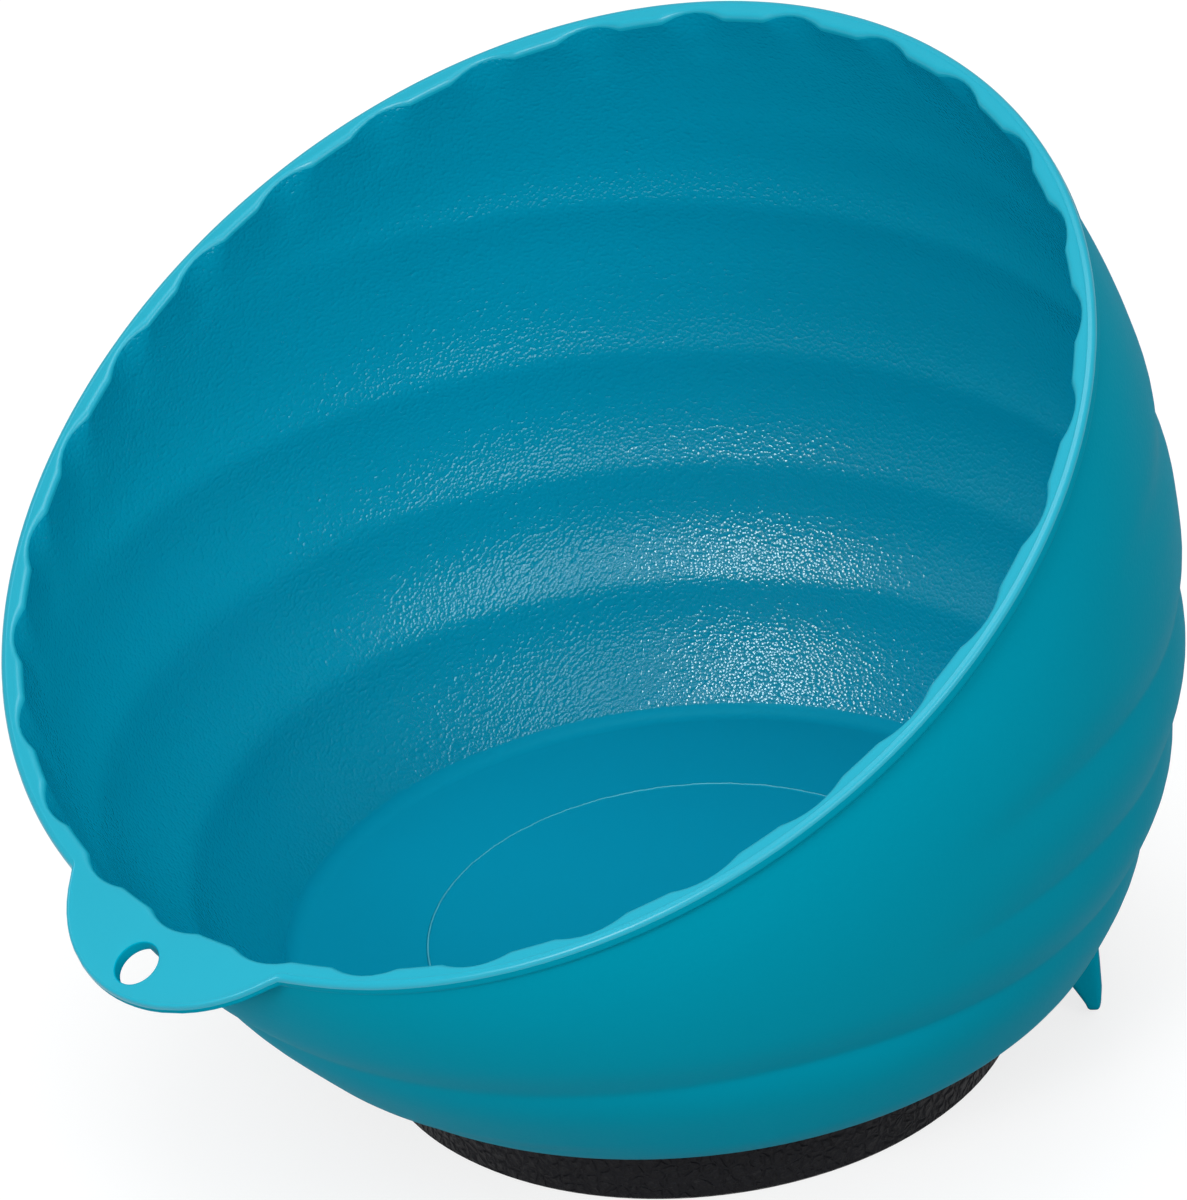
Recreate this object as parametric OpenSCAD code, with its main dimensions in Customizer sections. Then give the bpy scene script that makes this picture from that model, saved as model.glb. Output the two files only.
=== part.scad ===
// Magnetic parts tray: a leaning rippled bowl with a slanted scalloped rim on a rubber-covered magnet.
// Z is up, the tongue points to -Y, the origin is the middle of the standing face. Millimetres.

/* [Rim] */
// Outer diameter of the rim, measured in the slanted plane of the mouth
rim_d = 150.8; // [146:0.2:156]
// Slant of the mouth, low at the tongue
rim_tilt = 27.4; // [22:0.2:31]
// Height of the middle of the mouth
rim_mid_h = 90.4; // [86:0.2:96]
// How far the middle of the mouth sits in front of the base axis
rim_fwd = 17.2; // [13:0.2:21]
// Width of the rim between two scallops
land_w = 3.1; // [2.9:0.1:4]
// How far the lip stands proud of the wall
lip_out = 1.2; // [0.6:0.1:1.6]
// Height of the rolled lip
lip_t = 2.6; // [2.2:0.1:3.2]
// Radius of the rolled lip
lip_round = 1.1; // [0.8:0.1:1.2]
// Number of scallops on the inner edge
scallop_n = 30; // [24:1:34]
// Depth of a scallop into the land
scallop_depth = 1.3; // [0.6:0.1:1.6]
// How far a scallop runs down the inner wall
scallop_run = 8; // [5:0.5:11]

/* [Tongue] */
// Radius of the end of the tongue
tab_r = 22; // [18:0.1:24]
// How far the tongue reaches past the rim
tab_reach = 8.9; // [8.2:0.1:12]
// Thickness of the tongue
tab_t = 1.6; // [1.2:0.1:1.9]
// Step from the land down to the tongue
tab_step = 0.1; // [0.05:0.05:0.3]
// Diameter of the hanging hole
hole_d = 6; // [4.5:0.1:6.6]
// Material left between the hole and the end of the tongue
hole_edge = 1.8; // [1.4:0.1:2.4]

/* [Wall] */
// Thickness of the wall
wall = 2; // [1.6:0.1:2.4]
// Thickness of the floor
floor_t = 3.2; // [2.8:0.1:3.8]
// Largest outer diameter of the belly
belly_d = 146; // [142:0.2:150]
// Height of the widest part of the belly
belly_h = 76; // [72:0.5:82]
// Radius of the upright arc of the belly
belly_arc = 110; // [104:1:122]
// Radius of the turn from the underside to the outer wall
heel_r = 14; // [11:0.5:16]
// Radius of the turn from the floor to the inner wall
floor_turn_r = 3; // [2:0.2:5]
// Forward shift of the wall rings for each millimetre of height
lean = 0.136; // [0.12:0.002:0.15]
// Height over which the lean eases in
lean_ease = 1.5; // [0.5:0.5:4]
// Height below the lip over which the wall turns towards the rim circle
collar_h = 50; // [36:1:60]
// Height of the lowest ripple groove
groove_1_h = 31.5; // [29:0.1:33]
// Height of the second ripple groove
groove_2_h = 46.8; // [45:0.1:49]
// Height of the third ripple groove
groove_3_h = 63.5; // [61:0.1:66]
// Height of the fourth ripple groove
groove_4_h = 87.2; // [84:0.1:90]
// Height of the highest ripple groove
groove_5_h = 103; // [101:0.1:106]
// Half width of a ripple groove
groove_w = 8.5; // [7:0.1:10]
// Depth of a ripple groove
groove_depth = 1; // [0.5:0.1:1.4]
// Rounding of the groove on the outside
groove_round = 0.6; // [0.3:0.1:1.5]
// Smooth band under the lip
plain_band = 16; // [12:0.5:20]
// Height over which the ripples grow below the smooth band
ripple_ease = 14; // [9:0.5:20]
// Angle from the tongue where the upper ripples begin on the outside
ring_start = 78; // [60:1:100]
// Angle over which the upper ripples grow on the outside
ring_run = 34; // [20:1:50]

/* [Feet] */
// Angle of each foot from the back
foot_az = 50.5; // [40:0.5:62]
// Radius of the foot tip from the base axis
foot_r = 52.4; // [50:0.2:54]
// Width of the foot at the bowl
foot_root_w = 8; // [6:0.2:9]
// Width of the foot at the tip
foot_tip_w = 1.8; // [1.4:0.1:2.6]
// Thickness of the foot
foot_t = 2.6; // [2:0.1:4]
// Height of the foot tip above the standing face
foot_lift = 0.8; // [0.2:0.1:1.4]

/* [Magnet base] */
// Outer diameter of the rubber boot
base_d = 84.6; // [83:0.2:88]
// Rubber under the magnets
boot_floor = 1.6; // [1.2:0.1:2]
// Rubber around the edge of the plate
boot_wall = 1.3; // [1:0.1:2]
// Rubber lip over the edge of the plate
boot_lip_h = 1.8; // [1.5:0.1:2.2]
// How far the lip reaches in over the plate
boot_lip_w = 2.8; // [2:0.1:4]
// Bevel on the edges of the boot
boot_bevel = 0.5; // [0.3:0.1:1]
// Thickness of the steel plate
plate_t = 2.4; // [2:0.1:3]
// Diameter of one magnet
magnet_d = 13; // [11:0.2:14]
// Thickness of a magnet
magnet_h = 5.2; // [4.6:0.1:6]
// Number of magnets on the outer circle
magnet_outer_n = 12; // [8:2:12]
// Radius of the outer circle of magnets
magnet_outer_r = 31; // [30:0.2:32]
// Number of magnets on the inner circle
magnet_inner_n = 6; // [4:2:6]
// Radius of the inner circle of magnets
magnet_inner_r = 16; // [15.6:0.2:16.4]

/* [Fixing] */
// Diameter of the cover disc in the floor
cover_d = 68.2; // [60:0.2:74]
// Thickness of the cover disc
cover_t = 1.2; // [0.9:0.1:1.4]
// Bevel on the upper edge of the cover disc
cover_bevel = 0.3; // [0.1:0.1:0.5]
// Diameter of the screw
screw_d = 5; // [4:0.1:5.6]
// Diameter of the screw head
head_d = 11; // [9:0.2:12]
// Height of the screw head
head_h = 1.4; // [1.1:0.1:1.6]
// Across flats of the key socket
socket_af = 3; // [2.5:0.1:3.4]
// Diameter of the washer
washer_d = 13; // [12.4:0.2:14]
// Thickness of the washer
washer_t = 0.8; // [0.5:0.1:1]
// Outer diameter of the threaded bush
bush_d = 15; // [12:0.2:16]
// Length of the threaded bush
bush_h = 4.4; // [3.6:0.1:4.6]
// Thread length left free below the screw
screw_short = 0.8; // [0.4:0.1:1.2]

/* [Fits] */
// Radial gap around the cover disc
cover_gap = 0.1; // [0.05:0.05:0.2]
// Radial gap around the washer
washer_gap = 0.2; // [0.1:0.05:0.4]
// Radial gap of the screw in the holes it passes
screw_gap = 0.25; // [0.15:0.05:0.4]
// Radial gap of the screw in its thread
thread_gap = 0.04; // [0.02:0.01:0.08]
// Radial gap of the washer over the screw
washer_bore_gap = 0.15; // [0.1:0.05:0.3]
// Gap between the screw head and the cover disc
head_gap = 0.1; // [0.05:0.05:0.2]
// Radial gap of plate, bush and magnets in the rubber
boot_gap = 0.05; // [0.03:0.01:0.1]
// Radial gap between the seat boss and the rubber lip
boss_gap = 0.2; // [0.1:0.05:0.4]

/* [Hidden] */
$fn = 96;

// Heights of the base stack
magnet_top = boot_floor + magnet_h;
plate_top = magnet_top + plate_t;
base_h = plate_top + boot_lip_h;
floor_h = base_h + floor_t;
recess_h = floor_h - cover_t;
seat_h = recess_h - head_gap - head_h - washer_t;
head_base = seat_h + washer_t;
bush_base = magnet_top - bush_h;

// Radii of the base stack
boot_r = base_d / 2;
plate_r = boot_r - boot_wall;
lip_in_r = plate_r - boot_lip_w;
boss_r = lip_in_r - boss_gap;
pocket_r = washer_d / 2 + washer_gap;

// Radii of the rim in the plane of the mouth
rim_r = rim_d / 2;
wall_rim_r = rim_r - lip_out;
land_r = rim_r - land_w;
tab_mid = rim_r + tab_reach - tab_r;
tab_root_r = max(wall_rim_r - 0.4, land_r + scallop_depth + 0.2);
hole_mid = rim_r + tab_reach - hole_edge - hole_d / 2;

// Centre of the belly arc, and of the turns at the underside and at the floor
arc_mid = belly_d / 2 - belly_arc;
heel_z = base_h + heel_r;
heel_x = turn_x(0, heel_r, heel_z);
heel_end = arc_mid + (heel_x - arc_mid) * belly_arc / (belly_arc - heel_r);
turn_z = floor_h + floor_turn_r;
turn_mid = turn_x(wall, floor_turn_r, turn_z);

// Level rows of the wall: three at each groove and one or two on each roll
rise = 0.4 * groove_w;
levels = [
    groove_1_h - groove_w,
    groove_1_h - rise, groove_1_h, groove_1_h + rise, (groove_1_h + groove_2_h) / 2,
    groove_2_h - rise, groove_2_h, groove_2_h + rise, (groove_2_h + groove_3_h) / 2,
    groove_3_h - rise, groove_3_h, groove_3_h + rise, groove_3_h + groove_w,
    groove_4_h - groove_w, groove_4_h - rise, groove_4_h, groove_4_h + rise, (groove_4_h + groove_5_h) / 2,
    groove_5_h - rise, groove_5_h, groove_5_h + rise, groove_5_h + groove_w
];
grooves = [groove_1_h, groove_2_h, groove_3_h, groove_4_h, groove_5_h];
row_gap = 0.45;
around = 3 * scallop_n;
heel_rows = 4;
turn_rows = 2;
dent_drops = [0, 0.25 * scallop_run, 0.55 * scallop_run, scallop_run];

// Distance of a turn's centre from the axis, so that it runs into the belly arc
function turn_x(off, r, z) = arc_mid + sqrt(pow(belly_arc - off - r, 2) - pow(belly_h - z, 2));

function ease(t) = let (c = min(1, max(0, t))) c * c * (3 - 2 * c);

// Radius of the belly arc at a height, for a surface set inwards by off
function arc_rad(z, off) = arc_mid + sqrt(pow(belly_arc - off, 2) - pow(z - belly_h, 2));

// Middle of the wall ring at a height
function ring_y(z) = let (h = max(0, z - floor_h)) -lean * h * h / (h + lean_ease);

// Ripple at a height, 0 on a roll and near 1 in a groove; upper is the share of the upper grooves
function ripple(z, soft, upper) = max([for (g = grooves) (g == groove_1_h ? 1 : upper)
    * pow(max(0, 1 - sqrt(pow(z - g, 2) + soft * soft) / groove_w), 2)]);

// Angle of a point of the rim from the tongue, to either side
function from_tongue(top) = abs(atan2(top[0], -(top[1] + rim_fwd) / cos(rim_tilt)));

// Point of the mouth: angle from the tongue, radius in the plane, height over the plane
function mouth(a, r, h) = [
    r * sin(a),
    -rim_fwd - r * cos(a) * cos(rim_tilt) - h * sin(rim_tilt),
    rim_mid_h - r * cos(a) * sin(rim_tilt) + h * cos(rim_tilt)
];

// Outward direction of the mouth at an angle
function mouth_dir(a) = [sin(a), -cos(a) * cos(rim_tilt), -cos(a) * sin(rim_tilt)];

// Direction of the wall below a point of the rim
function bearing(top) = atan2(top[1] - ring_y(top[2]), top[0]);

// Point of the wall at a height, below a point of the rim, set inwards by off
function wall_pt(top, z, off) =
    let (
        b = bearing(top),
        drop = top[2] - z,
        flare = norm([top[0], top[1] - ring_y(top[2])]) / arc_rad(top[2], off) - 1,
        upper = off > 0 ? 1 : ease((from_tongue(top) - ring_start) / ring_run),
        rip = groove_depth * ripple(z, groove_round + off, upper) * ease((drop - plain_band) / ripple_ease),
        r = arc_rad(z, off) * (1 + flare * (1 - ease(drop / collar_h))) - rip
    )
    [r * cos(b), ring_y(z) + r * sin(b), z];

// Point of a turn with centre (x, z) and radius r, t from 0 at the flat to 1 at the belly
function turn_pt(top, t, x, z, r) =
    let (
        b = bearing(top),
        g = -90 + t * (90 - atan2(belly_h - z, x - arc_mid)),
        d = x + r * cos(g),
        h = z + r * sin(g)
    )
    [d * cos(b), ring_y(h) + d * sin(b), h];

function angles() = [for (i = [0 : around - 1]) 360 * i / around];

function outer_top(a) = mouth(a, wall_rim_r, -lip_t);
function inner_top(a) = mouth(a, land_r, 0);

// Height of a level row at a point of the rim, where the rows close up below it
function row_z(j, high) = min(levels[j], high - row_gap * (len(levels) - j));

// Rows of the outside from the underside up to the lip
function outer_loops() = concat(
    [for (j = [0 : heel_rows])
        [for (a = angles()) turn_pt(outer_top(a), j / heel_rows, heel_x, heel_z, heel_r)]],
    [for (j = [0 : len(levels) - 1])
        [for (a = angles()) let (t = outer_top(a)) wall_pt(t, row_z(j, t[2]), 0)]],
    [[for (a = angles()) outer_top(a)]]
);

// Rows of the rolled lip: distance in from the rim radius and depth under the mouth
lip_rows = [
    [0.6 * lip_round, lip_t - 0.05], [0, lip_t - 0.7 * lip_round], [0, lip_round],
    [0.3 * lip_round, 0.3 * lip_round], [lip_round, 0]
];
function lip_loops() = [for (q = lip_rows) [for (a = angles()) mouth(a, rim_r - q[0], -q[1])]];

// Scallop: 1 at its middle and 0 on the two land points beside it
function dent(i) = i % 3 == 0 ? scallop_depth : 0;

// Rows of the inside from the land down to the floor
function inner_loops() = concat(
    [for (d = dent_drops) let (fade = pow(1 - d / scallop_run, 2)) [for (i = [0 : around - 1])
        let (a = 360 * i / around, t = inner_top(a)) wall_pt(t, t[2] - d, wall) + dent(i) * fade * mouth_dir(a)]],
    [for (j = [len(levels) - 1 : -1 : 0])
        [for (a = angles()) let (t = inner_top(a)) wall_pt(t, row_z(j, t[2] - scallop_run), wall)]],
    [for (j = [turn_rows : -1 : 0])
        [for (a = angles()) turn_pt(inner_top(a), j / turn_rows, turn_mid, turn_z, floor_turn_r)]]
);

// Closed skin through a list of loops, with flat end caps
module skin(loops) {
    n = len(loops[0]);
    m = len(loops);
    pts = [for (l = loops) for (p = l) p];
    sides = [for (j = [0 : m - 2]) for (i = [0 : n - 1]) let (k = (i + 1) % n)
        each [[j * n + i, (j + 1) * n + i, (j + 1) * n + k], [j * n + i, (j + 1) * n + k, j * n + k]]];
    ends = [[for (i = [0 : n - 1]) i], [for (i = [n - 1 : -1 : 0]) (m - 1) * n + i]];
    polyhedron(points = pts, faces = concat(sides, ends));
}

// Places a piece in the plane of the mouth, tongue to -Y
module in_mouth() {
    translate([0, -rim_fwd, rim_mid_h]) rotate([rim_tilt, 0, 0]) children();
}

module tongue() {
    in_mouth() translate([0, 0, -tab_step - tab_t]) linear_extrude(tab_t) difference() {
        translate([0, -tab_mid]) circle(r = tab_r);
        circle(r = tab_root_r);
    }
}

// Height of the outside at a distance from the middle of its ring: underside, heel, then belly arc
function outer_z(r) =
    r < heel_x ? base_h :
    r < heel_end ? heel_z - sqrt(pow(heel_r, 2) - pow(r - heel_x, 2)) :
    belly_h - sqrt(pow(belly_arc, 2) - pow(r - arc_mid, 2));

// Height of the leaning wall above a foot, at a distance from the base axis
function foot_root_z(d, z = base_h, n = 6) = n == 0 ? z :
    foot_root_z(d, outer_z(norm([d * sin(foot_az), d * cos(foot_az) - ring_y(z)])), n - 1);

// One rear foot, a tapered fin whose top is buried in the wall
module foot(side) {
    tip_in = foot_r - foot_tip_w / 2;
    tip_out = foot_r + foot_tip_w / 2;
    root_in = tip_out - foot_root_w;
    rotate([0, 0, 90 - side * foot_az]) rotate([90, 0, 0]) translate([0, 0, -foot_t / 2])
        linear_extrude(foot_t) polygon([
            [root_in, foot_root_z(root_in) + wall / 2],
            [tip_in, foot_lift + foot_tip_w / 2],
            [tip_in + foot_tip_w / 4, foot_lift],
            [tip_out - foot_tip_w / 4, foot_lift],
            [tip_out, foot_lift + foot_tip_w / 2],
            [tip_out + 0.3, foot_lift + 3],
            [tip_out - 0.1, foot_root_z(tip_out) + wall / 2]
        ]);
}

module bowl() {
    color([0.02, 0.42, 0.5]) difference() {
        union() {
            skin(concat(outer_loops(), lip_loops(), inner_loops()));
            tongue();
            foot(1);
            foot(-1);
            translate([0, 0, plate_top]) cylinder(r = boss_r, h = base_h - plate_top + wall / 2);
        }
        in_mouth() translate([0, -hole_mid, -tab_step - tab_t - 1]) cylinder(d = hole_d, h = tab_t + 2);
        translate([0, 0, recess_h]) cylinder(r = cover_d / 2 + cover_gap, h = cover_t + 1);
        translate([0, 0, seat_h]) cylinder(r = pocket_r, h = recess_h - seat_h + 0.5);
        translate([0, 0, plate_top - 1]) cylinder(r = screw_d / 2 + screw_gap, h = seat_h - plate_top + 2);
    }
}

module cover_disc() {
    r = cover_d / 2;
    color([0.03, 0.45, 0.53]) rotate_extrude() polygon([
        [0, recess_h], [r, recess_h], [r, floor_h - cover_bevel], [r - cover_bevel, floor_h], [0, floor_h]
    ]);
}

module fixing_screw() {
    low = bush_base + screw_short;
    color([0.7, 0.7, 0.72]) difference() {
        union() {
            translate([0, 0, head_base]) cylinder(d = head_d, h = head_h);
            translate([0, 0, low]) cylinder(d = screw_d, h = head_base - low + head_h / 2);
        }
        translate([0, 0, head_base + head_h / 3]) cylinder(d = socket_af / cos(30), h = head_h, $fn = 6);
    }
}

module washer() {
    color([0.75, 0.75, 0.77]) translate([0, 0, seat_h]) difference() {
        cylinder(d = washer_d, h = washer_t);
        translate([0, 0, -1]) cylinder(r = screw_d / 2 + washer_bore_gap, h = washer_t + 2);
    }
}

module back_plate() {
    color([0.6, 0.61, 0.63]) translate([0, 0, magnet_top]) difference() {
        cylinder(r = plate_r, h = plate_t);
        translate([0, 0, -1]) cylinder(r = screw_d / 2 + screw_gap, h = plate_t + 2);
    }
}

module threaded_bush() {
    color([0.66, 0.66, 0.68]) translate([0, 0, bush_base]) difference() {
        cylinder(d = bush_d, h = bush_h);
        translate([0, 0, -1]) cylinder(r = screw_d / 2 + thread_gap, h = bush_h + 2);
    }
}

// Puts a piece at every magnet place
module at_magnets() {
    for (i = [0 : magnet_outer_n - 1])
        rotate([0, 0, 360 * i / magnet_outer_n]) translate([magnet_outer_r, 0, boot_floor]) children();
    for (i = [0 : magnet_inner_n - 1])
        rotate([0, 0, 360 * i / magnet_inner_n]) translate([magnet_inner_r, 0, boot_floor]) children();
}

module magnet_discs() {
    color([0.8, 0.8, 0.82]) at_magnets() cylinder(d = magnet_d, h = magnet_h);
}

module rubber_boot() {
    color([0.05, 0.05, 0.055]) difference() {
        rotate_extrude() polygon([
            [0, 0],
            [boot_r - boot_bevel, 0],
            [boot_r, boot_bevel],
            [boot_r, base_h - boot_bevel],
            [boot_r - boot_bevel, base_h],
            [lip_in_r, base_h],
            [lip_in_r, plate_top],
            [plate_r + boot_gap, plate_top],
            [plate_r + boot_gap, magnet_top],
            [0, magnet_top]
        ]);
        at_magnets() cylinder(r = magnet_d / 2 + boot_gap, h = magnet_h + 1);
        translate([0, 0, bush_base]) cylinder(r = bush_d / 2 + boot_gap, h = bush_h + 1);
    }
}

bowl();
cover_disc();
fixing_screw();
washer();
back_plate();
threaded_bush();
magnet_discs();
rubber_boot();
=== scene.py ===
import math
import bpy
import numpy as np
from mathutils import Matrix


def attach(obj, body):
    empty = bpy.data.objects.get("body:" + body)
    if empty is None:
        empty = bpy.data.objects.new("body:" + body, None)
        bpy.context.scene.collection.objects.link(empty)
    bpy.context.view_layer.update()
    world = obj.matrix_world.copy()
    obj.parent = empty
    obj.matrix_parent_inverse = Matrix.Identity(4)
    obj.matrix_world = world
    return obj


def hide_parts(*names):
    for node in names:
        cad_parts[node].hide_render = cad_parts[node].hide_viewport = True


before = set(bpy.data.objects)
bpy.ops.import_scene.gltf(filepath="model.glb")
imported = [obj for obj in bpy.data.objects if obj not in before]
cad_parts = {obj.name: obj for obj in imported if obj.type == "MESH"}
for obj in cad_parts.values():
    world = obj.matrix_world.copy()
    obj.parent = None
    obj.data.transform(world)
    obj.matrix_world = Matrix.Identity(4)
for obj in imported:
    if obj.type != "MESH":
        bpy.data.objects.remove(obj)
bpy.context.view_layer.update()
scene = bpy.context.scene
print("frame loaded")

mm = 0.001
quarterTurn = 0.5 * math.pi
fullTurn = 2.0 * math.pi


# Eased step from 0 to 1
def smooth(t):
    c = np.clip(t, 0.0, 1.0)
    return c * c * (3.0 - 2.0 * c)


# Soft version of max(0, x), rounded over k
def softRamp(x, k):
    return 0.5 * (x + np.sqrt(x * x + k * k))


# Quads of a grid of rings; the columns always close, the rows close if wrap is set
def ringFaces(rowCount, colCount, wrap):
    row = np.arange(rowCount if wrap else rowCount - 1)[:, None] * colCount
    col = np.arange(colCount)[None, :]
    nextRow = (row + colCount) % (rowCount * colCount)
    nextCol = (col + 1) % colCount
    return np.stack([row + col, row + nextCol, nextRow + nextCol, nextRow + col], axis=-1).reshape(-1, 4)


# End polygons of an open grid of rings
def endCaps(rowCount, colCount):
    last = rowCount * colCount - 1
    return [list(range(colCount)), list(range(last, last - colCount, -1))]


# Smooth shading, with edges steeper than the angle kept sharp
def shadeMesh(mesh, sharpAngle):
    mesh.polygons.foreach_set("use_smooth", np.ones(len(mesh.polygons), dtype=bool))
    mesh.set_sharp_from_angle(angle=math.radians(sharpAngle))


# Mesh object from points in millimetres, quads and end polygons
def makeMesh(name, points, quads, caps, sharpAngle):
    mesh = bpy.data.meshes.new(name)
    mesh.from_pydata((points * mm).tolist(), [], quads.tolist() + caps)
    shadeMesh(mesh, sharpAngle)
    mesh.update()
    obj = bpy.data.objects.new(name, mesh)
    scene.collection.objects.link(obj)
    return obj


# Node helpers
def newMaterial(name):
    material = bpy.data.materials.new(name)
    material.use_nodes = True
    tree = material.node_tree
    return material, tree, tree.nodes["Principled BSDF"]


def addNode(tree, kind, **values):
    node = tree.nodes.new(kind)
    for key, value in values.items():
        setattr(node, key, value)
    return node


# Empty group with a height and a tone drift as outputs
def newGroup(name, inputNames):
    group = bpy.data.node_groups.new(name, "ShaderNodeTree")
    for socketName in inputNames:
        group.interface.new_socket(socketName, in_out="INPUT", socket_type="NodeSocketFloat")
    for socketName in ("Height", "Drift"):
        group.interface.new_socket(socketName, in_out="OUTPUT", socket_type="NodeSocketFloat")
    kinds = ("NodeGroupInput", "NodeGroupOutput", "ShaderNodeTexCoord")
    return group, *(addNode(group, kind) for kind in kinds)


# Grain groups
grains = {
    "fineDetail": 3.0, "driftScale": 35.0, "warpScale": 420.0, "warpPush": (0.0022, 0.0022, 0.0014),
    "creaseWidth": 0.3, "fineShare": 0.3,
}


# Group of moulded grain: noise and small domes as a height, and a slow tone drift, from object coordinates
def mouldedGroup():
    group, begin, end, coord = newGroup("mouldedGrain", ("Fine Scale", "Dome Scale", "Dome Share"))
    noise = addNode(group, "ShaderNodeTexNoise")
    noise.inputs["Detail"].default_value = grains["fineDetail"]
    cells = addNode(group, "ShaderNodeTexVoronoi", feature="F1")
    square = addNode(group, "ShaderNodeMath", operation="MULTIPLY")
    dome = addNode(group, "ShaderNodeMath", operation="SUBTRACT")
    dome.inputs[0].default_value = 1.0
    mixed = addNode(group, "ShaderNodeMix", data_type="FLOAT")
    drift = addNode(group, "ShaderNodeTexNoise")
    drift.inputs["Scale"].default_value = grains["driftScale"]
    for texture in (noise, cells, drift):
        group.links.new(coord.outputs["Object"], texture.inputs["Vector"])
    group.links.new(begin.outputs["Fine Scale"], noise.inputs["Scale"])
    group.links.new(begin.outputs["Dome Scale"], cells.inputs["Scale"])
    group.links.new(begin.outputs["Dome Share"], mixed.inputs[0])
    group.links.new(cells.outputs["Distance"], square.inputs[0])
    group.links.new(cells.outputs["Distance"], square.inputs[1])
    group.links.new(square.outputs[0], dome.inputs[1])
    group.links.new(noise.outputs[0], mixed.inputs[2])
    group.links.new(dome.outputs[0], mixed.inputs[3])
    group.links.new(mixed.outputs[0], end.inputs["Height"])
    group.links.new(drift.outputs[0], end.inputs["Drift"])
    return group


# Group of leather-like grain: uneven pads between creases, roughened by fine noise, from object coordinates
def leatherGroup():
    group, begin, end, coord = newGroup("leatherGrain", ("Pad Scale", "Fine Scale"))
    warp = addNode(group, "ShaderNodeTexNoise")
    warp.inputs["Scale"].default_value = grains["warpScale"]
    push = addNode(group, "ShaderNodeVectorMath", operation="MULTIPLY_ADD")
    push.inputs[1].default_value = grains["warpPush"]
    pads = addNode(group, "ShaderNodeTexVoronoi", feature="DISTANCE_TO_EDGE")
    crease = addNode(group, "ShaderNodeMapRange", interpolation_type="SMOOTHSTEP")
    crease.inputs["From Max"].default_value = grains["creaseWidth"]
    fine = addNode(group, "ShaderNodeTexNoise")
    mixed = addNode(group, "ShaderNodeMix", data_type="FLOAT")
    mixed.inputs[0].default_value = grains["fineShare"]
    group.links.new(coord.outputs["Object"], warp.inputs["Vector"])
    group.links.new(warp.outputs["Color"], push.inputs[0])
    group.links.new(coord.outputs["Object"], push.inputs[2])
    group.links.new(push.outputs["Vector"], pads.inputs["Vector"])
    group.links.new(coord.outputs["Object"], fine.inputs["Vector"])
    group.links.new(begin.outputs["Pad Scale"], pads.inputs["Scale"])
    group.links.new(begin.outputs["Fine Scale"], fine.inputs["Scale"])
    group.links.new(pads.outputs["Distance"], crease.inputs["Value"])
    group.links.new(crease.outputs["Result"], mixed.inputs[2])
    group.links.new(fine.outputs[0], mixed.inputs[3])
    group.links.new(mixed.outputs[0], end.inputs["Height"])
    group.links.new(warp.outputs[0], end.inputs["Drift"])
    return group


# Material with one grain group on its bump, tone and roughness
def grainMaterial(name, group, values):
    material, tree, shader = newMaterial(name)
    grain = addNode(tree, "ShaderNodeGroup", node_tree=group)
    for socketName, value in values["grain"].items():
        grain.inputs[socketName].default_value = value
    tone = addNode(tree, "ShaderNodeMix", data_type="RGBA")
    tone.inputs[6].default_value = (*values["dark"], 1.0)
    tone.inputs[7].default_value = (*values["light"], 1.0)
    rough = addNode(tree, "ShaderNodeMapRange")
    rough.inputs["To Min"].default_value = values["rough"][0]
    rough.inputs["To Max"].default_value = values["rough"][1]
    bump = addNode(tree, "ShaderNodeBump")
    bump.inputs["Strength"].default_value = values["bump"]
    bump.inputs["Distance"].default_value = values["bumpDepth"] * mm
    tree.links.new(grain.outputs["Drift"], tone.inputs[0])
    tree.links.new(grain.outputs["Height"], rough.inputs["Value"])
    tree.links.new(grain.outputs["Height"], bump.inputs["Height"])
    tree.links.new(tone.outputs[2], shader.inputs["Base Color"])
    tree.links.new(rough.outputs["Result"], shader.inputs["Roughness"])
    tree.links.new(bump.outputs["Normal"], shader.inputs["Normal"])
    shader.inputs["Metallic"].default_value = values.get("metal", 0.0)
    shader.inputs["Specular IOR Level"].default_value = values.get("specular", 0.5)
    shader.inputs["Specular Tint"].default_value = (*values.get("tint", (1.0, 1.0, 1.0)), 1.0)
    return material


# Finishes
mouldedGrain = mouldedGroup()
leatherGrain = leatherGroup()
# Darker, bluer teal for the inside wall and floor: painted shade of the bowl's hollow, on the same plastic as the
# outside
tealPaintedShade = {"dark": (0.0, 0.258, 0.39), "light": (0.0, 0.27, 0.408)}
fineMould = {"Fine Scale": 2200.0, "Dome Scale": 1800.0, "Dome Share": 0.4}
pebbles = {"Fine Scale": 1800.0, "Dome Scale": 2050.0, "Dome Share": 0.85}
brushed = {"Fine Scale": 1800.0, "Dome Scale": 900.0, "Dome Share": 0.2}
tealOutside = grainMaterial("tealOutside", mouldedGrain, {
    "dark": (0.0, 0.277, 0.396), "light": (0.0, 0.29, 0.414), "grain": fineMould, "rough": (0.48, 0.58),
    "bump": 0.6, "bumpDepth": 0.06, "specular": 0.01, "tint": (0.0, 1.0, 1.0)})
# Land and lip top: lighter teal with a trace of red, painted light and sheen where the top faces the lamps
tealLandPaintedLight = grainMaterial("tealLandPaintedLight", mouldedGrain, {
    "dark": (0.004, 0.326, 0.446), "light": (0.006, 0.34, 0.462), "grain": fineMould, "rough": (0.26, 0.34),
    "bump": 0.1, "bumpDepth": 0.03, "specular": 0.42})
# Inside wall: the painted shade colour, with pebbled grain
tealInsidePaintedShade = grainMaterial("tealInsidePaintedShade", mouldedGrain, {
    **tealPaintedShade, "grain": pebbles, "rough": (0.07, 0.12),
    "bump": 1.0, "bumpDepth": 0.105, "specular": 0.65, "tint": (0.8, 1.0, 1.0)})
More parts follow.
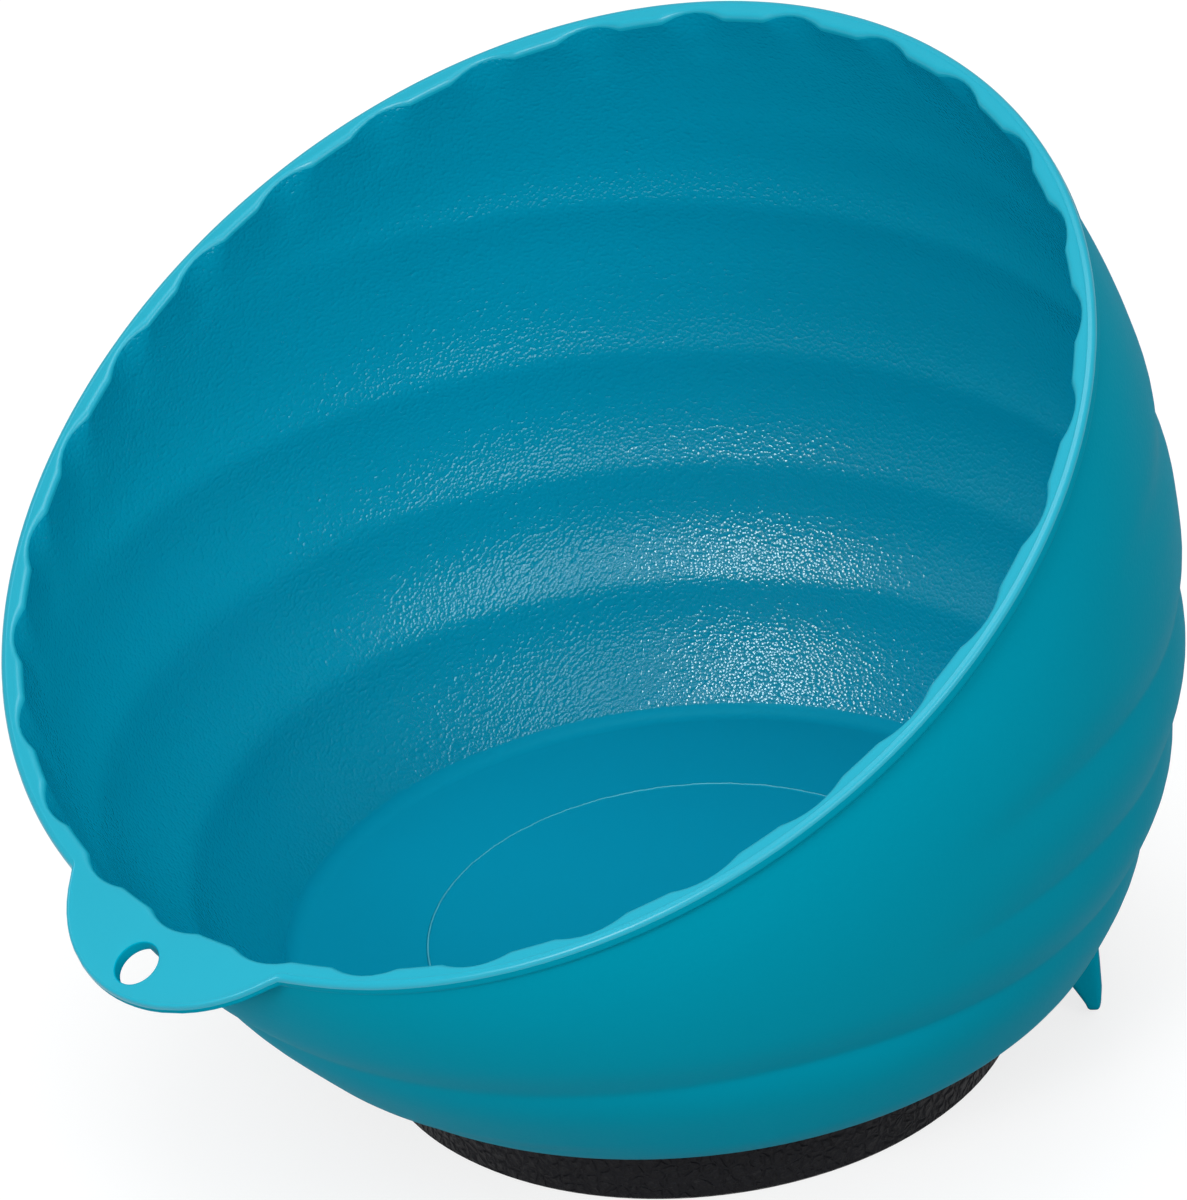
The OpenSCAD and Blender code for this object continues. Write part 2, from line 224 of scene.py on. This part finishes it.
# Bowl floor and cover disc: the painted shade colour
tealFloorPaintedShade = grainMaterial("tealFloorPaintedShade", mouldedGrain, {
    **tealPaintedShade, "grain": fineMould, "rough": (0.36, 0.44),
    "bump": 0.15, "bumpDepth": 0.04, "specular": 0.15, "tint": (0.2, 1.0, 1.0)})
# Cover bead: paler teal, partly the whitened flash line and partly a painted highlight along it
tealBeadFlashAndHighlight = grainMaterial("tealBeadFlashAndHighlight", mouldedGrain, {
    "dark": (0.04, 0.4, 0.49), "light": (0.12, 0.48, 0.56), "grain": fineMould, "rough": (0.3, 0.4),
    "bump": 0.1, "bumpDepth": 0.03})
rubber = grainMaterial("blackRubber", leatherGrain, {
    "dark": (0.004, 0.004, 0.0055), "light": (0.006, 0.006, 0.008),
    "grain": {"Pad Scale": 620.0, "Fine Scale": 2600.0}, "rough": (0.62, 0.42),
    "bump": 1.0, "bumpDepth": 0.5, "specular": 0.12})
steel = grainMaterial("zincSteel", mouldedGrain, {
    "dark": (0.55, 0.56, 0.58), "light": (0.62, 0.63, 0.66), "grain": brushed, "rough": (0.28, 0.4),
    "bump": 0.1, "bumpDepth": 0.03, "metal": 1.0})
nickel = grainMaterial("nickelPlate", mouldedGrain, {
    "dark": (0.7, 0.68, 0.64), "light": (0.76, 0.74, 0.7), "grain": brushed, "rough": (0.12, 0.22),
    "bump": 0.05, "bumpDepth": 0.02, "metal": 1.0})
print("finishes made")

# Bowl, in millimetres and degrees
bowl = {
    # mouth and lip
    "rimR": 75.34, "wallRimR": 74.2, "landR": 72.3, "tilt": math.radians(27.4), "midH": 90.2, "forward": 17.2,
    "rimSag": 0.57, "sagStart": 30.0, "sagHold": 65.0, "sagRun": 75.0,
    "lipT": 2.6, "notchR": [74.22, 74.3, 74.6], "notchH": [-2.42, -2.25, -2.1],
    "lipLowR": 74.9, "lipLowH": -1.6, "lipLowB": 0.45, "lipLowRows": 7,
    "creaseR": 74.62, "shoulderH": -0.7, "shoulderRows": 9,
    "ridge": 0.045, "ridgeIn": [0.05, 0.1, 0.17, 0.22, 0.3], "ridgeShare": [0.3, 0.9, 0.9, 0.3, 0.0],
    "beadDrop": 0.42, "beadWidth": 0.16, "beadHeight": 0.2,
    "collarDrops": [10.0, 7.5, 5.0, 3.2, 2.0, 1.3, 0.9, 0.72, 0.6, 0.5, 0.42, 0.34, 0.26, 0.18, 0.09, 0.0],
    # land and scallops
    "landRound": 0.95, "scallopRound": 0.45, "edgeRows": 7,
    "scallops": 30, "scallopDepth": 1.3, "scallopHalf": 4.75, "scallopRun": 9.5,
    "scallopHold": 0.6, "scallopSoft": 0.1, "scallopSoftRise": 0.05,
    "innerDrops": [1.15, 1.5, 2.0, 2.6, 3.4, 4.2, 5.1, 6.0, 7.0, 8.0, 9.0, 10.0],
    # tongue and hole
    "tabR": 22.0, "tabMid": 62.27, "tabBlend": 0.35, "tabEdge": 0.35, "tabT": 1.62, "tabUnder": 0.12,
    "tabFade": 0.5, "tabReach": 0.9, "underPart": [0.02, 0.33, 0.67, 1.0], "underRise": 0.1, "edgeRise": 0.22,
    "holeMid": 79.5, "holeR": 3.0, "holeRound": 0.18, "holeSides": 72, "holeSteps": 5, "holeReach": 1.0,
    # wall, floor and boss
    "wall": 2.0, "floorH": 14.2, "baseH": 11.0, "recessH": 13.0, "seatH": 10.7, "plateTop": 9.2,
    "recessR": 34.2, "pocketR": 6.7, "screwR": 2.75, "bossR": 38.0, "floorR": 42.0,
    "bellyR": 73.0, "bellyH": 76.0, "bellyArc": 110.0,
    "heelR": 14.0, "heelRows": 12, "turnR": 3.0, "turnRows": 8,
    "lean": 0.136, "leanEase": 1.5, "collar": 50.0,
    # grooves
    "grooves": np.array([31.5, 46.8, 63.5, 87.2, 103.0]), "grooveW": 8.5, "innerDepth": 1.0, "outerDepth": 1.25,
    "grooveRound": 0.3, "roundMore": 1.6, "roundHold": 22.0, "roundRun": 20.0, "roundAway": 90.0,
    "plainBand": 16.0, "rippleEase": 14.0, "firstBand": 12.0, "firstEase": 10.0, "ringStart": 78.0, "ringRun": 34.0,
    "firstLift": 1.7, "liftHold": 60.0, "liftRun": 50.0,
    "innerSoft": 1.3, "innerPlain": 7.0, "innerFirst": 1.6, "innerUpper": 1.1, "plainHold": 90.0, "plainRun": 60.0,
    # spacing of the level rows
    "outerStart": 18.2, "innerStart": 16.2, "levelTop": 116.0, "levelSamples": 2000, "outerLevels": 84,
    "innerLevels": 56, "packing": 2.8, "packShift": 0.5, "packReach": 1.9, "rimRows": 10.0, "rowGap": 0.02,
    "sharp": 38.0,
}
arcMid = bowl["bellyR"] - bowl["bellyArc"]
pitch = 360.0 / bowl["scallops"]
columnSteps = np.array([-3.95, -3.6, -3.0, -2.2, -1.1, 0.0, 1.1, 2.2, 3.0, 3.6, 3.95, 5.0, 7.0])
phi = np.radians((np.arange(bowl["scallops"])[:, None] * pitch + columnSteps[None, :]).ravel())
scoopPlace = np.tile(np.where(columnSteps > pitch / 2.0, columnSteps - pitch, columnSteps), bowl["scallops"])
colCount = len(phi)


# Angle away from the tongue, the same on both sides
def awayFrom(a):
    return np.degrees(np.arccos(np.clip(np.cos(a), -1.0, 1.0)))


fromTongue = awayFrom(phi)


# Point of the mouth: r out from its middle at angle a, h above its plane; the sides sag a little
def mouth(a, r, h):
    st, ct = math.sin(bowl["tilt"]), math.cos(bowl["tilt"])
    away = awayFrom(a)
    sag = smooth(away / bowl["sagStart"]) * (1.0 - smooth((away - bowl["sagHold"]) / bowl["sagRun"]))
    h = h - bowl["rimSag"] * sag
    y = -bowl["forward"] - r * np.cos(a) * ct - h * st
    z = bowl["midH"] - r * np.cos(a) * st + h * ct
    return np.stack(np.broadcast_arrays(r * np.sin(a), y, z), axis=-1)


# Belly arc: radius of the wall at height z, off inside its outer face
def arcRad(z, off):
    return arcMid + np.sqrt((bowl["bellyArc"] - off) ** 2 - (z - bowl["bellyH"]) ** 2)


# Lean: the ring centre moves forward in step with height above the floor, with an eased start
def ringY(z):
    h = np.maximum(0.0, z - bowl["floorH"])
    return -bowl["lean"] * h * h / (h + bowl["leanEase"])


# Bearing of each rim point about the ring centre at its own height
def bearingOf(top):
    return np.arctan2(top[:, 1] - ringY(top[:, 2]), top[:, 0])


# Ripple: squared falling slope from each groove, rounded by soft, times the groove's share there
def ripple(z, soft, share, grooves):
    gap = np.sqrt((z[..., None] - grooves) ** 2 + soft[..., None] ** 2) / bowl["grooveW"]
    return (share * np.maximum(0.0, 1.0 - gap) ** 2).max(axis=-1)


# Ripple outside: the lowest groove runs all round and climbs at the tongue, the others run out towards it
def outerRipple(z, drop):
    first = smooth((drop - bowl["firstBand"]) / bowl["firstEase"])
    upper = smooth((drop - bowl["plainBand"]) / bowl["rippleEase"])
    upper = upper * smooth((fromTongue - bowl["ringStart"]) / bowl["ringRun"])
    nearRim = 1.0 - smooth((drop - bowl["roundHold"]) / bowl["roundRun"])
    soft = bowl["grooveRound"] + bowl["roundMore"] * nearRim * np.minimum(1.0, fromTongue / bowl["roundAway"])
    lift = bowl["firstLift"] * (1.0 - smooth((fromTongue - bowl["liftHold"]) / bowl["liftRun"]))
    grooves = np.tile(bowl["grooves"], (colCount, 1))
    grooves[:, 0] = grooves[:, 0] + lift
    return bowl["outerDepth"] * ripple(z, soft, np.stack([first] + [upper] * 4, axis=-1), grooves)


# Ripple inside: softer grooves that start nearer the rim on the low side
def innerRipple(z, drop):
    back = smooth((fromTongue - bowl["plainHold"]) / bowl["plainRun"])
    plain = bowl["innerPlain"] + (bowl["plainBand"] - bowl["innerPlain"]) * back
    first = bowl["innerFirst"] * smooth((drop - bowl["innerPlain"]) / bowl["firstEase"])
    upper = bowl["innerUpper"] * smooth((drop - plain) / bowl["rippleEase"])
    soft = np.full(drop.shape, bowl["innerSoft"])
    return bowl["innerDepth"] * ripple(z, soft, np.stack([first] + [upper] * 4, axis=-1), bowl["grooves"])


# Wall: belly arc radius at each height, spread near the rim to meet the rim circle, less the ripple
def wallPoint(top, z, off, extra=0.0):
    bearing = bearingOf(top)
    flare = np.hypot(top[:, 0], top[:, 1] - ringY(top[:, 2])) / arcRad(top[:, 2], off) - 1.0
    drop = top[:, 2] - z
    r = arcRad(z, off) * (1.0 + flare * (1.0 - smooth(drop / bowl["collar"])))
    r = r - (innerRipple(z, drop) if off > 0.0 else outerRipple(z, drop)) + extra
    return np.stack([r * np.cos(bearing), ringY(z) + r * np.sin(bearing), z], axis=-1)


# Turn: quarter-like arc between a level face and the belly arc
def turnRows(top, off, radius, level, count):
    z0 = level + radius
    x0 = arcMid + math.sqrt((bowl["bellyArc"] - off - radius) ** 2 - (bowl["bellyH"] - z0) ** 2)
    last = -math.atan2(bowl["bellyH"] - z0, x0 - arcMid)
    g = np.linspace(-quarterTurn, last, count)[:, None]
    bearing = bearingOf(top)[None, :]
    d, h = x0 + radius * np.cos(g), z0 + radius * np.sin(g) + 0.0 * bearing
    return np.stack([d * np.cos(bearing), ringY(h) + d * np.sin(bearing), h], axis=-1)


# Level heights, closer together at the grooves, and held below the rows of the rim
def clippedLevels(start, high, count):
    z = np.linspace(start, bowl["levelTop"], bowl["levelSamples"])
    reach = (z[:, None] - bowl["grooves"] - bowl["packShift"]) / bowl["packReach"]
    total = np.cumsum(1.0 + bowl["packing"] * np.exp(-reach ** 2).sum(axis=1))
    levels = np.interp(np.linspace(total[0], total[-1], count), total, z)[:, None]
    gaps = bowl["rowGap"] * (count - np.arange(count))[:, None]
    return np.minimum(levels, high[None, :] - bowl["rimRows"] - gaps)


outerTop = mouth(phi, bowl["wallRimR"], -bowl["lipT"])
innerTop = mouth(phi, bowl["landR"], 0.0)
outward = mouth(phi, 1.0, 0.0) - mouth(phi, 0.0, 0.0)


# Level ring about the base axis, in the order of the columns
def levelRing(r, z):
    bearing = bearingOf(innerTop)
    return np.stack([r * np.cos(bearing), r * np.sin(bearing), np.full(colCount, z)], axis=-1)[None]


# Outside of the wall with a fine bead under the lip
outerWall = wallPoint(outerTop, clippedLevels(bowl["outerStart"], outerTop[:, 2], bowl["outerLevels"]), 0.0)
collarDrop = np.array(bowl["collarDrops"])[:, None]
bead = bowl["beadHeight"] * np.exp(-((collarDrop - bowl["beadDrop"]) / bowl["beadWidth"]) ** 2)
outerCollar = wallPoint(outerTop, outerTop[None, :, 2] - collarDrop, 0.0, bead)

# Outlines of the lip's side and of its crease: larger of the rim circle and the tongue circle, softly joined
side = np.clip(bowl["tabMid"] * np.sin(phi), -bowl["tabR"], bowl["tabR"])
tongueR = bowl["tabMid"] * np.cos(phi) + np.sqrt(bowl["tabR"] ** 2 - side ** 2)
tongueR = np.where(np.cos(phi) > bowl["tabReach"], tongueR, 0.0)
sideR = bowl["rimR"] + softRamp(tongueR - bowl["rimR"], bowl["tabBlend"])
creaseR = bowl["creaseR"] + softRamp(tongueR - bowl["tabEdge"] - bowl["creaseR"], bowl["tabBlend"])


# Lip section from below: notch, elliptic lower round, underside and edge of the tongue; elliptic shoulder, fine ridge
def lipRows():
    a = np.linspace(-quarterTurn, 0.0, bowl["lipLowRows"])[:, None]
    b = np.linspace(0.0, quarterTurn, bowl["shoulderRows"])[:, None]
    notch = np.array(bowl["notchR"])[:, None] + 0.0 * phi, np.array(bowl["notchH"])[:, None]
    lowR = bowl["lipLowR"] + (bowl["rimR"] - bowl["lipLowR"]) * np.cos(a) + 0.0 * phi
    low = lowR, bowl["lipLowH"] + bowl["lipLowB"] * np.sin(a)
    part = np.array(bowl["underPart"])[:, None]
    inset = bowl["tabUnder"] * np.clip((sideR - bowl["rimR"]) / bowl["tabFade"], 0.0, 1.0)
    underR = bowl["rimR"] + (sideR - inset - bowl["rimR"]) * part
    under = underR, bowl["lipLowH"] + bowl["underRise"] * part
    edgeMid = 0.5 * (bowl["lipLowH"] + bowl["shoulderH"])
    edge = np.stack([sideR, sideR]), np.array([[bowl["lipLowH"] + bowl["edgeRise"]], [edgeMid]])
    shoulder = creaseR + (sideR - creaseR) * np.cos(b), bowl["shoulderH"] * (1.0 - np.sin(b))
    ridgeR = creaseR - np.array(bowl["ridgeIn"])[:, None]
    ridge = ridgeR, bowl["ridge"] * np.array(bowl["ridgeShare"])[:, None]
    lower = np.concatenate([mouth(phi[None, :], r, h) for r, h in (notch, low, under, edge)])
    upper = np.concatenate([mouth(phi[None, :], r, h) for r, h in (shoulder, ridge)])
    return lower, upper


# Scallop: circular scoop that grows shallower and narrower down the wall
def scoop(drop):
    half, depth, run, hold = (bowl[key] for key in ("scallopHalf", "scallopDepth", "scallopRun", "scallopHold"))
    radius = (half ** 2 + depth ** 2) / (2.0 * depth)
    s = np.radians(scoopPlace) * bowl["landR"]
    arc = np.sqrt(np.maximum(radius ** 2 - s ** 2, 0.0)) - (radius - depth)
    fall = depth * (1.0 - np.clip(1.0 - drop / run, 0.0, 1.0) ** 2)
    fade = 1.0 - smooth((drop - hold * run) / ((1.0 - hold) * run))
    return softRamp(arc[None, :] - fall, bowl["scallopSoft"] + bowl["scallopSoftRise"] * drop) * fade


# Inside: edge of the land, rounded less in the scallops, then the scalloped wall
edgeTurn = np.linspace(0.0, quarterTurn, bowl["edgeRows"])[:, None]
inScallop = scoop(np.zeros((1, 1))) / bowl["scallopDepth"]
edgeRound = bowl["landRound"] + (bowl["scallopRound"] - bowl["landRound"]) * np.clip(inScallop, 0.0, 1.0)
lowDrop = np.array(bowl["innerDrops"])[:, None] + 0.0 * edgeRound
innerDrop = np.concatenate([edgeRound * (1.0 - np.cos(edgeTurn)), lowDrop])
edgeShift = np.concatenate([edgeRound * (1.0 - np.sin(edgeTurn)), 0.0 * lowDrop])
innerCollar = wallPoint(innerTop, innerTop[None, :, 2] - innerDrop, bowl["wall"])
innerCollar = innerCollar + (scoop(innerDrop) + edgeShift)[..., None] * outward[None]
innerLevels = clippedLevels(bowl["innerStart"], innerTop[:, 2], bowl["innerLevels"])
innerWall = wallPoint(innerTop, innerLevels, bowl["wall"])[::-1]

# Rows of the shell, from the screw hole below, round the outside and the lip, to the screw hole above
lipLower, lipUpper = lipRows()
landPart = np.array([0.25, 0.5, 0.75])[:, None, None]
land = lipUpper[-1][None] * (1.0 - landPart) + innerCollar[0][None] * landPart
heel = turnRows(outerTop, 0.0, bowl["heelR"], bowl["baseH"], bowl["heelRows"])
floorTurn = turnRows(innerTop, bowl["wall"], bowl["turnR"], bowl["floorH"], bowl["turnRows"])[::-1]
baseRings = [levelRing(bowl[r], bowl[z]) for r, z in (
    ("screwR", "plateTop"), ("bossR", "plateTop"), ("bossR", "baseH"))]
floorRings = [levelRing(bowl[r], bowl[z]) for r, z in (
    ("floorR", "floorH"), ("recessR", "floorH"), ("recessR", "recessH"),
    ("pocketR", "recessH"), ("pocketR", "seatH"), ("screwR", "seatH"))]
landEdge = bowl["edgeRows"] - 1
zoneRows = [
    [*baseRings, heel, outerWall, outerCollar, lipLower],
    [lipUpper, land, innerCollar[:landEdge]],
    [innerCollar[landEdge:], innerWall],
    [floorTurn, *floorRings],
]
bowlRows = np.concatenate([rows for group in zoneRows for rows in group])
bowlFaces = ringFaces(len(bowlRows), colCount, True)
bowlObj = makeMesh("bowlShell", bowlRows.reshape(-1, 3), bowlFaces, [], bowl["sharp"])

# Finish of each row: outside, land and lip, inside wall, floor; the land and lip carry painted light, the inside wall
# and floor painted shade
zoneCounts = [sum(len(rows) for rows in group) for group in zoneRows]
zone = np.repeat(np.repeat(np.arange(len(zoneRows)), zoneCounts), colCount)
for finish in (tealOutside, tealLandPaintedLight, tealInsidePaintedShade, tealFloorPaintedShade):
    bowlObj.data.materials.append(finish)
bowlObj.data.polygons.foreach_set("material_index", zone.astype(np.int32))
print("bowl rows", len(bowlRows), "columns", colCount)


# Cutter of the hanging hole: profile turned about the hole's axis, flared at both faces
def holeCutter():
    r, k, t, reach = (bowl[key] for key in ("holeR", "holeRound", "tabT", "holeReach"))
    a = np.linspace(0.0, quarterTurn, bowl["holeSteps"])
    out = np.concatenate([[r + k], r + k * (1.0 - np.sin(a)), r + k * (1.0 - np.cos(a)), [r + k]])
    high = np.concatenate([[-t - reach], -t + k * (1.0 - np.cos(a)), -k * (1.0 - np.sin(a)), [reach]])
    turn = np.linspace(0.0, fullTurn, bowl["holeSides"], endpoint=False)
    x = out[:, None] * np.cos(turn)
    y = -bowl["holeMid"] + out[:, None] * np.sin(turn)
    points = mouth(np.arctan2(x, -y), np.hypot(x, y), high[:, None]).reshape(-1, 3)
    caps = [cap[::-1] for cap in endCaps(len(out), bowl["holeSides"])]
    return makeMesh("holeCutter", points, ringFaces(len(out), bowl["holeSides"], False), caps, bowl["sharp"])


cutter = holeCutter()
cut = bowlObj.modifiers.new("hole", "BOOLEAN")
cut.operation = "DIFFERENCE"
cut.solver = "MANIFOLD"
cut.object = cutter
graph = bpy.context.evaluated_depsgraph_get()
bowlObj.data = bpy.data.meshes.new_from_object(bowlObj.evaluated_get(graph))
bowlObj.modifiers.clear()
bpy.data.objects.remove(cutter)
shadeMesh(bowlObj.data, bowl["sharp"])
print("hole cut, faces", len(bowlObj.data.polygons))

# Rear feet
feet = {
    "azimuth": 50.5, "tipIn": 51.5, "tipOut": 53.4, "rootIn": 45.4, "half": 1.3, "low": 0.8, "rootZ": 12.8,
    "bend": 12.1, "taper": 10.4, "sunk": 0.9, "crowd": 1.5, "corner": 0.5, "tipRound": 0.9, "tipShare": 0.12,
    "swell": 0.2, "swellFrom": 1.5, "swellRun": 2.0, "thin": 0.25, "thinFrom": 6.0, "thinRun": 8.0,
    "heelReach": 13.0, "rows": 26, "columns": 40, "sharp": 50.0,
}


# Foot: rounded box section carried from the heel down to a rounded tip
def footMesh(name, sideSign):
    low, root = feet["low"], feet["rootZ"]
    t = np.linspace(0.0, 1.0, feet["rows"])[:, None]
    z = root + (low - root) * (1.0 - (1.0 - t) ** feet["crowd"])
    taper = np.clip((feet["bend"] - z) / feet["taper"], 0.0, 1.0)
    inner = feet["rootIn"] + (feet["tipIn"] - feet["rootIn"]) * taper
    outer = feet["tipOut"] + feet["swell"] * smooth((z - feet["swellFrom"]) / feet["swellRun"])
    outer = outer - feet["thin"] * smooth((z - feet["thinFrom"]) / feet["thinRun"])
    tip = np.clip(1.0 - (z - low) / feet["tipRound"], 0.0, 1.0)
    end = feet["tipShare"] + (1.0 - feet["tipShare"]) * np.sqrt(np.clip(1.0 - tip ** 2, 0.0, 1.0))
    u = np.linspace(0.0, fullTurn, feet["columns"], endpoint=False)[None, :]
    boxCos = np.sign(np.cos(u)) * np.abs(np.cos(u)) ** feet["corner"]
    boxSin = np.sign(np.sin(u)) * np.abs(np.sin(u)) ** feet["corner"]
    d = 0.5 * (inner + outer) + 0.5 * (outer - inner) * end * boxCos
    w = feet["half"] * end * boxSin
    heelR, heelZ = bowl["heelR"], bowl["baseH"] + bowl["heelR"]
    heelX = arcMid + math.sqrt((bowl["bellyArc"] - heelR) ** 2 - (bowl["bellyH"] - heelZ) ** 2)
    under = heelZ - np.sqrt(heelR ** 2 - np.clip(d - heelX, 0.0, feet["heelReach"]) ** 2)
    z = low + (z - low) / (root - low) * (under + feet["sunk"] - low)
    az = math.radians(90.0 - sideSign * feet["azimuth"])
    x, y = d * math.cos(az) - w * math.sin(az), d * math.sin(az) + w * math.cos(az)
    points = np.stack([x, y, z], axis=-1).reshape(-1, 3)
    quads = ringFaces(feet["rows"], feet["columns"], False)[:, ::-1]
    return makeMesh(name, points, quads, endCaps(feet["rows"], feet["columns"]), feet["sharp"])


footRight = footMesh("rearFootRight", 1.0)
footLeft = footMesh("rearFootLeft", -1.0)
for obj in (footRight, footLeft):
    obj.data.materials.append(tealOutside)
print("feet built")

# Cover disc in the floor
cover = {
    "plainR": [5.0, 14.0, 23.0, 30.0, 33.0], "beadFrom": 33.65, "beadTo": 34.14, "beadRings": 9, "edgeR": 34.18,
    "top": 14.2, "edgeDrop": 0.03, "low": 13.0, "beadR": 33.98, "beadWidth": 0.13, "bead": 0.16,
    "burr": 0.4, "waves": [(1.0, 83.0, 0.0, 131.0, 0.6), (0.7, 29.0, 1.1, 57.0, 0.0)],
    # bead rows with the paler finish: whitened flash and painted highlight
    "columns": 540, "flashAndHighlightRows": (9, 12), "sharp": 50.0,
}


# Cover: level rings, with a fine bead near the edge whose height wavers like a burr, as products of two sines
def coverMesh():
    n = cover["columns"]
    a = np.linspace(0.0, fullTurn, n, endpoint=False)[None, :]
    beadRings = np.linspace(cover["beadFrom"], cover["beadTo"], cover["beadRings"])
    r = np.concatenate([cover["plainR"], beadRings, [cover["edgeR"]] * 2])[:, None]
    waver = sum(share * np.sin(f * a + p) * np.sin(g * a + q) for share, f, p, g, q in cover["waves"])
    section = np.exp(-((r - cover["beadR"]) / cover["beadWidth"]) ** 2)
    z = cover["top"] + cover["bead"] * (1.0 + cover["burr"] * waver) * section
    z[-2:] = np.array([[cover["top"] - cover["edgeDrop"]], [cover["low"]]])
    points = np.stack([r * np.cos(a), r * np.sin(a), z], axis=-1).reshape(-1, 3)
    quads = ringFaces(len(r), n, False)[:, ::-1]
    return makeMesh("coverDisc", points, quads, endCaps(len(r), n), cover["sharp"])


coverObj = coverMesh()
for finish in (tealFloorPaintedShade, tealBeadFlashAndHighlight):
    coverObj.data.materials.append(finish)
# Bead rows take the paler finish: whitened flash line and painted highlight
coverRow = np.arange(len(coverObj.data.polygons)) // cover["columns"]
beadFlashAndHighlight = (coverRow >= cover["flashAndHighlightRows"][0]) & (coverRow < cover["flashAndHighlightRows"][1])
coverObj.data.polygons.foreach_set("material_index", beadFlashAndHighlight.astype(np.int32))
print("cover disc built")

# Bodies and finishes of the solids that show
for obj in (bowlObj, footRight, footLeft, coverObj):
    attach(obj, "root")
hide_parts("bowl")
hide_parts("cover_disc")
nodeFinish = {
    "fixing_screw": steel, "washer": steel, "back_plate": steel, "threaded_bush": steel,
    "magnet_discs": nickel, "rubber_boot": rubber,
}
for nodeName, finish in nodeFinish.items():
    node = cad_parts[nodeName]
    node.data.materials.clear()
    node.data.materials.append(finish)
print("bodies and finishes set")

# Floor, light and camera
stage = {
    "floorHalf": 4.0, "floorTone": 0.3, "floorRough": 0.9, "floorGlow": 0.74, "ambient": 0.46,
    "aim": (0.0, 0.0, 0.06),
    "lights": [  # name, place, size in metres, watts
        ("topFrontLight", (0.0, -0.25, 1.3), 1.1, 3.8), ("topLight", (-0.1, 0.1, 1.35), 0.8, 4.8),
        ("frontLight", (0.3, -0.99, 0.58), 0.36, 5.6), ("cameraSideLight", (0.95, -0.5, 0.4), 0.6, 2.8),
        ("rightLight", (1.0, -0.05, 0.8), 0.5, 3.0),
    ],
    "lens": 240.0, "sensor": 36.0, "far": 20.0,
    "cameraPlace": (0.671486, -0.562688, 0.582829), "cameraTurn": (59.2361, 5.4688, 47.2789),
}
floorMesh = bpy.data.meshes.new("floor")
half = stage["floorHalf"]
floorCorners = [(-half, -half, 0.0), (half, -half, 0.0), (half, half, 0.0), (-half, half, 0.0)]
floorMesh.from_pydata(floorCorners, [], [(0, 1, 2, 3)])
floor = bpy.data.objects.new("floor", floorMesh)
scene.collection.objects.link(floor)
floorMaterial, floorTree, floorShader = newMaterial("paleFloor")
floorShader.inputs["Base Color"].default_value = (stage["floorTone"],) * 3 + (1.0,)
floorShader.inputs["Roughness"].default_value = stage["floorRough"]
floorShader.inputs["Specular IOR Level"].default_value = 0.0
floorShader.inputs["Emission Color"].default_value = (1.0, 1.0, 1.0, 1.0)


# Share of rays that see the white background: camera, mirror and glass rays
def seenRays(tree):
    path = addNode(tree, "ShaderNodeLightPath")
    first = addNode(tree, "ShaderNodeMath", operation="MAXIMUM")
    both = addNode(tree, "ShaderNodeMath", operation="MAXIMUM")
    tree.links.new(path.outputs["Is Camera Ray"], first.inputs[0])
    tree.links.new(path.outputs["Is Glossy Ray"], first.inputs[1])
    tree.links.new(first.outputs[0], both.inputs[0])
    tree.links.new(path.outputs["Is Transmission Ray"], both.inputs[1])
    return both.outputs[0]


glow = addNode(floorTree, "ShaderNodeMath", operation="MULTIPLY")
glow.inputs[1].default_value = stage["floorGlow"]
floorTree.links.new(seenRays(floorTree), glow.inputs[0])
floorTree.links.new(glow.outputs[0], floorShader.inputs["Emission Strength"])
floorMesh.materials.append(floorMaterial)

world = bpy.data.worlds.new("studio")
world.use_nodes = True
background = world.node_tree.nodes["Background"]
background.inputs["Color"].default_value = (1.0, 1.0, 1.0, 1.0)
background.inputs["Strength"].default_value = stage["ambient"]
scene.world = world


# Square area light that faces the aim point
def areaLight(name, place, size, power):
    light = bpy.data.lights.new(name, "AREA")
    light.size = size
    light.energy = power
    obj = bpy.data.objects.new(name, light)
    obj.location = place
    dx, dy, dz = np.array(stage["aim"]) - np.array(place)
    obj.rotation_euler = (math.atan2(math.hypot(dx, dy), -dz), 0.0, math.atan2(dy, dx) - quarterTurn)
    scene.collection.objects.link(obj)


for lightValues in stage["lights"]:
    areaLight(*lightValues)

cameraData = bpy.data.cameras.new("photoCamera")
cameraData.lens = stage["lens"]
cameraData.sensor_width = stage["sensor"]
cameraData.clip_end = stage["far"]
camera = bpy.data.objects.new("photoCamera", cameraData)
camera.location = stage["cameraPlace"]
camera.rotation_euler = tuple(math.radians(v) for v in stage["cameraTurn"])
scene.collection.objects.link(camera)
scene.camera = camera
scene.view_settings.view_transform = "Standard"
print("stage set")
